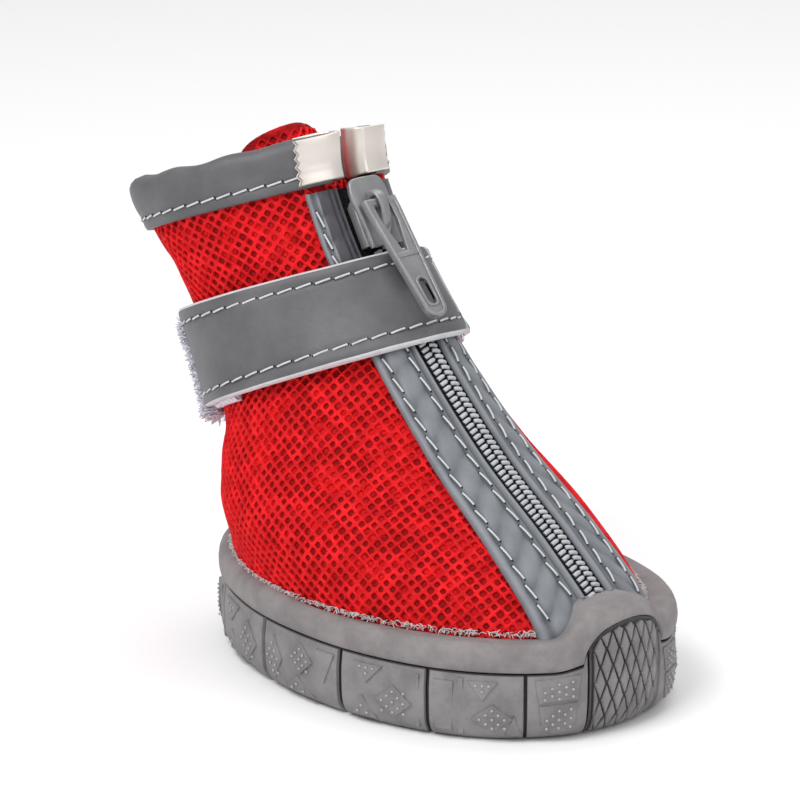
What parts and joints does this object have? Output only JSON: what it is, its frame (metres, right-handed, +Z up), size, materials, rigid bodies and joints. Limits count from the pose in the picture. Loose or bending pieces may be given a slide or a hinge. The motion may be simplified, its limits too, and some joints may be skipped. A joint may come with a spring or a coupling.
{
  "type": "dog boot",
  "caption": "Short dog boot: a hollow red mesh upper with a front zip and rounded tongue, grey folded collar with two metal clips, wrap strap and a moulded grey rubber cup sole with lugs.",
  "frame": {"origin": "on the ground under the middle of the sole, on the flat middle panel of the tread", "axes": "+X towards the toe, +Y towards the boot's left side, +Z up"},
  "size_m": [0.0973, 0.0536, 0.0767],
  "materials": {
    "rubber": "matte",
    "insole_felt": "matte",
    "red_mesh": "matte",
    "coated_strip": "satin",
    "nickel": "polished",
    "zip_tape": "matte",
    "facing_strip": "satin",
    "zip_coil": "satin",
    "slider_paint": "satin",
    "loop_fabric": "matte"
  },
  "bodies": {
    "boot": {"outsole": "rubber", "insole": "insole_felt", "upper": "red_mesh", "tongue": "red_mesh", "collar_binding": "coated_strip", "collar_clip_right": "nickel", "collar_clip_left": "nickel", "zip_tape_right": "zip_tape", "zip_tape_left": "zip_tape", "zip_facing_right": "facing_strip", "zip_facing_left": "facing_strip", "zip_chain": "zip_coil", "zip_slider": "slider_paint", "strap": "coated_strip", "strap_loop_band": "loop_fabric", "strap_left": "coated_strip"},
    "pull": {"zip_pull": "slider_paint"}
  },
  "joints": [
    {"name": "zip_pull_hinge", "type": "hinge", "parent": "boot", "child": "pull", "pos_m": [-0.01249, 0, 0.0666], "axis": [0, -1, 0], "range_deg": [0, 155]}
  ]
}
